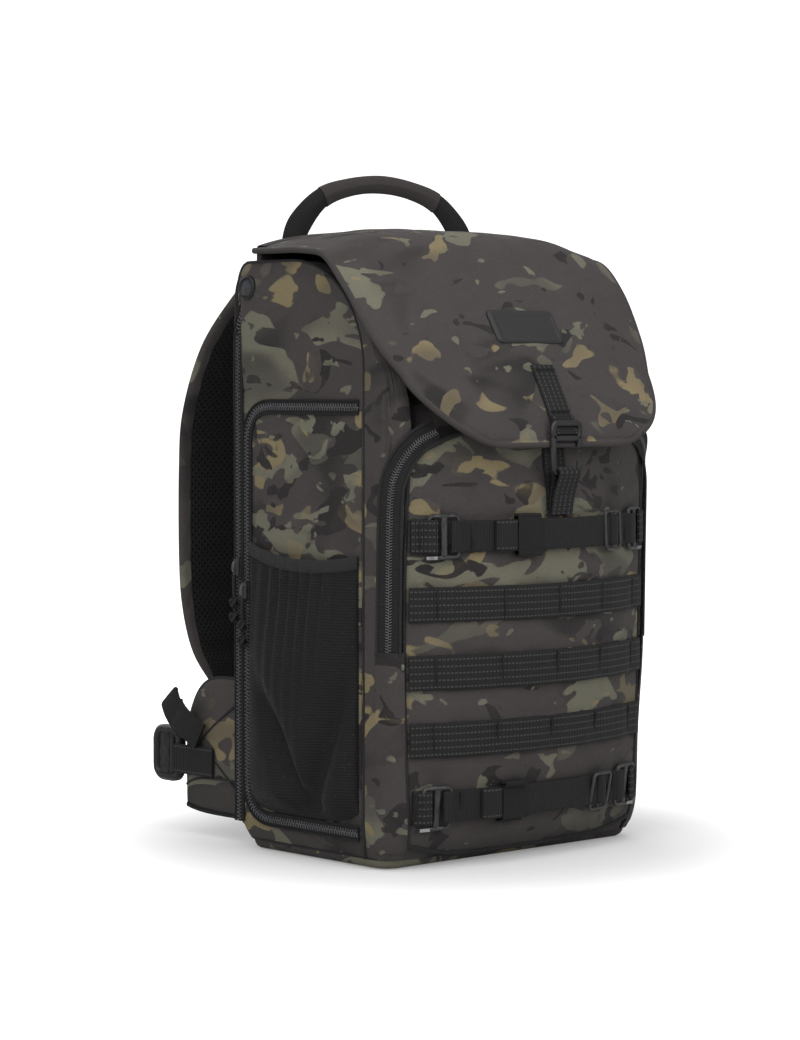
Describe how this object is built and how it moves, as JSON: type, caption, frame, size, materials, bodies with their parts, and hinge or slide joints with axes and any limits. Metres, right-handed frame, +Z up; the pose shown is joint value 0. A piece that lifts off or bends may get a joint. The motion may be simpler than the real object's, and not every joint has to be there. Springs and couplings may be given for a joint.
{
  "type": "backpack",
  "caption": "Structured backpack with a hooked roll-over flap, side door, bottle pockets, webbing rows, accessory straps, shoulder straps and a hip belt.",
  "frame": {"origin": "middle of the bag's base on the floor, halfway between the front and rear corners", "axes": "+Z up, -Y out of the front, +X to the right seen from the front"},
  "size_m": [0.3278, 0.3734, 0.559],
  "materials": {
    "camo_fabric": "coated woven fabric with a dark blotched print",
    "black_webbing": "ribbed woven tape",
    "mesh_fabric": "knitted stretch and spacer mesh",
    "lining_fabric": "smooth woven lining",
    "black_plastic": "fine moulded texture",
    "dark_metal": "satin black coating worn at the edges",
    "dark_rubber": "matt moulded rubber"
  },
  "bodies": {
    "bag": {"base_panel": "camo_fabric", "left_side_panel": "camo_fabric", "right_side_panel": "camo_fabric", "top_panel": "camo_fabric", "bulkhead": "lining_fabric", "front_gussets": "camo_fabric", "front_panel": "camo_fabric", "webbing_row_1": "black_webbing", "webbing_row_2": "black_webbing", "webbing_row_3": "black_webbing", "upper_anchor_loops": "black_webbing", "lower_anchor_loops": "black_webbing", "hook_loop_strap": "black_webbing", "front_zip": "black_plastic", "door_zip": "black_plastic", "rear_zip": "black_plastic", "port_plug": "dark_rubber", "padded_dividers": "lining_fabric", "right_pocket_mesh": "mesh_fabric", "right_pocket_binding": "black_webbing"},
    "flap_top": {"flap_top": "camo_fabric"},
    "flap_front": {"flap_front": "camo_fabric", "flap_patch": "dark_rubber", "flap_strap": "black_webbing"},
    "flap_hook": {"flap_hook": "dark_metal"},
    "side_door": {"side_door": "camo_fabric", "left_pocket_mesh": "mesh_fabric", "left_pocket_binding": "black_webbing"},
    "door_slider": {"door_slider": "dark_metal"},
    "door_pull": {"door_pull": "black_webbing"},
    "rear_slider": {"rear_slider": "dark_metal"},
    "rear_pull": {"rear_pull": "black_webbing"},
    "rear_panel": {"rear_panel": "lining_fabric", "frame_sheet": "black_plastic", "back_pads": "mesh_fabric", "lumbar_pad": "mesh_fabric", "strap_yoke": "camo_fabric", "strap_anchors": "black_webbing"},
    "handle": {"grab_handle": "black_webbing"},
    "left_strap": {"left_shoulder_strap": "camo_fabric", "left_strap_webbing": "black_webbing", "left_ladder_lock": "black_plastic"},
    "right_strap": {"right_shoulder_strap": "camo_fabric", "right_strap_webbing": "black_webbing", "right_ladder_lock": "black_plastic"},
    "left_wing": {"left_hip_wing": "camo_fabric", "left_hip_webbing": "black_webbing", "left_hip_buckle": "black_plastic"},
    "right_wing": {"right_hip_wing": "camo_fabric", "right_hip_webbing": "black_webbing", "right_hip_buckle": "black_plastic"},
    "upper_strap": {"upper_strap": "black_webbing", "upper_hooks": "dark_metal", "upper_triglide": "black_plastic", "upper_keeper": "black_webbing"},
    "lower_strap": {"lower_strap": "black_webbing", "lower_hooks": "dark_metal", "lower_triglide": "black_plastic", "lower_keeper": "black_webbing"}
  },
  "joints": [
    {"name": "flap_lift", "type": "hinge", "parent": "bag", "child": "flap_top", "pos_m": [0, 0.0735, 0.5092], "axis": [-1, 0, 0], "range_deg": [0, 85], "deforming": ["hook_loop_strap"]},
    {"name": "flap_fold", "type": "hinge", "parent": "flap_top", "child": "flap_front", "pos_m": [0, -0.0401, 0.5012], "axis": [-1, 0, 0], "range_deg": [0, 75], "deforming": ["hook_loop_strap"]},
    {"name": "flap_hook_swing", "type": "hinge", "parent": "flap_front", "child": "flap_hook", "pos_m": [0, -0.1454, 0.3515], "axis": [-1, 0, 0], "range_deg": [0, 80], "deforming": ["hook_loop_strap"]},
    {"name": "side_door_swing", "type": "hinge", "parent": "bag", "child": "side_door", "pos_m": [-0.145, -0.063, 0.196], "axis": [0, 0, 1], "range_deg": [0, 105]},
    {"name": "door_zip_slide", "type": "slide", "parent": "bag", "child": "door_slider", "axis": [0, 0, 1], "range_m": [-0.11, 0.12]},
    {"name": "door_pull_swing", "type": "hinge", "parent": "door_slider", "child": "door_pull", "pos_m": [-0.1512, 0.077, 0.2032], "axis": [0, 1, 0], "range_deg": [0, 85]},
    {"name": "rear_zip_slide", "type": "slide", "parent": "bag", "child": "rear_slider", "axis": [0, 0, 1], "range_m": [-0.15, 0.18]},
    {"name": "rear_pull_swing", "type": "hinge", "parent": "rear_slider", "child": "rear_pull", "pos_m": [-0.1512, 0.0875, 0.2222], "axis": [0, 1, 0], "range_deg": [0, 85]},
    {"name": "rear_panel_open", "type": "hinge", "parent": "bag", "child": "rear_panel", "pos_m": [0, 0.0903, 0.01], "axis": [-1, 0, 0], "range_deg": [0, 75]},
    {"name": "handle_fold", "type": "hinge", "parent": "bag", "child": "handle", "pos_m": [0, 0.0765, 0.488], "axis": [-1, 0, 0], "range_deg": [0, 65]},
    {"name": "left_strap_swing", "type": "hinge", "parent": "rear_panel", "child": "left_strap", "pos_m": [-0.09, 0.11, 0.25], "axis": [0, 0, 1], "range_deg": [-25, 12]},
    {"name": "right_strap_swing", "type": "hinge", "parent": "rear_panel", "child": "right_strap", "pos_m": [0.09, 0.11, 0.25], "axis": [0, 0, 1], "range_deg": [-12, 25]},
    {"name": "left_wing_swing", "type": "hinge", "parent": "rear_panel", "child": "left_wing", "pos_m": [-0.128, 0.1032, 0.0775], "axis": [0, 0, 1], "range_deg": [0, 65]},
    {"name": "right_wing_swing", "type": "hinge", "parent": "rear_panel", "child": "right_wing", "pos_m": [0.128, 0.1032, 0.0775], "axis": [0, 0, -1], "range_deg": [0, 65]},
    {"name": "upper_strap_swing", "type": "hinge", "parent": "bag", "child": "upper_strap", "pos_m": [0.11912, -0.11085, 0.26375], "axis": [0, 0, 1], "range_deg": [0, 80]},
    {"name": "lower_strap_swing", "type": "hinge", "parent": "bag", "child": "lower_strap", "pos_m": [0.11932, -0.10374, 0.04975], "axis": [0, 0, 1], "range_deg": [0, 80]}
  ]
}
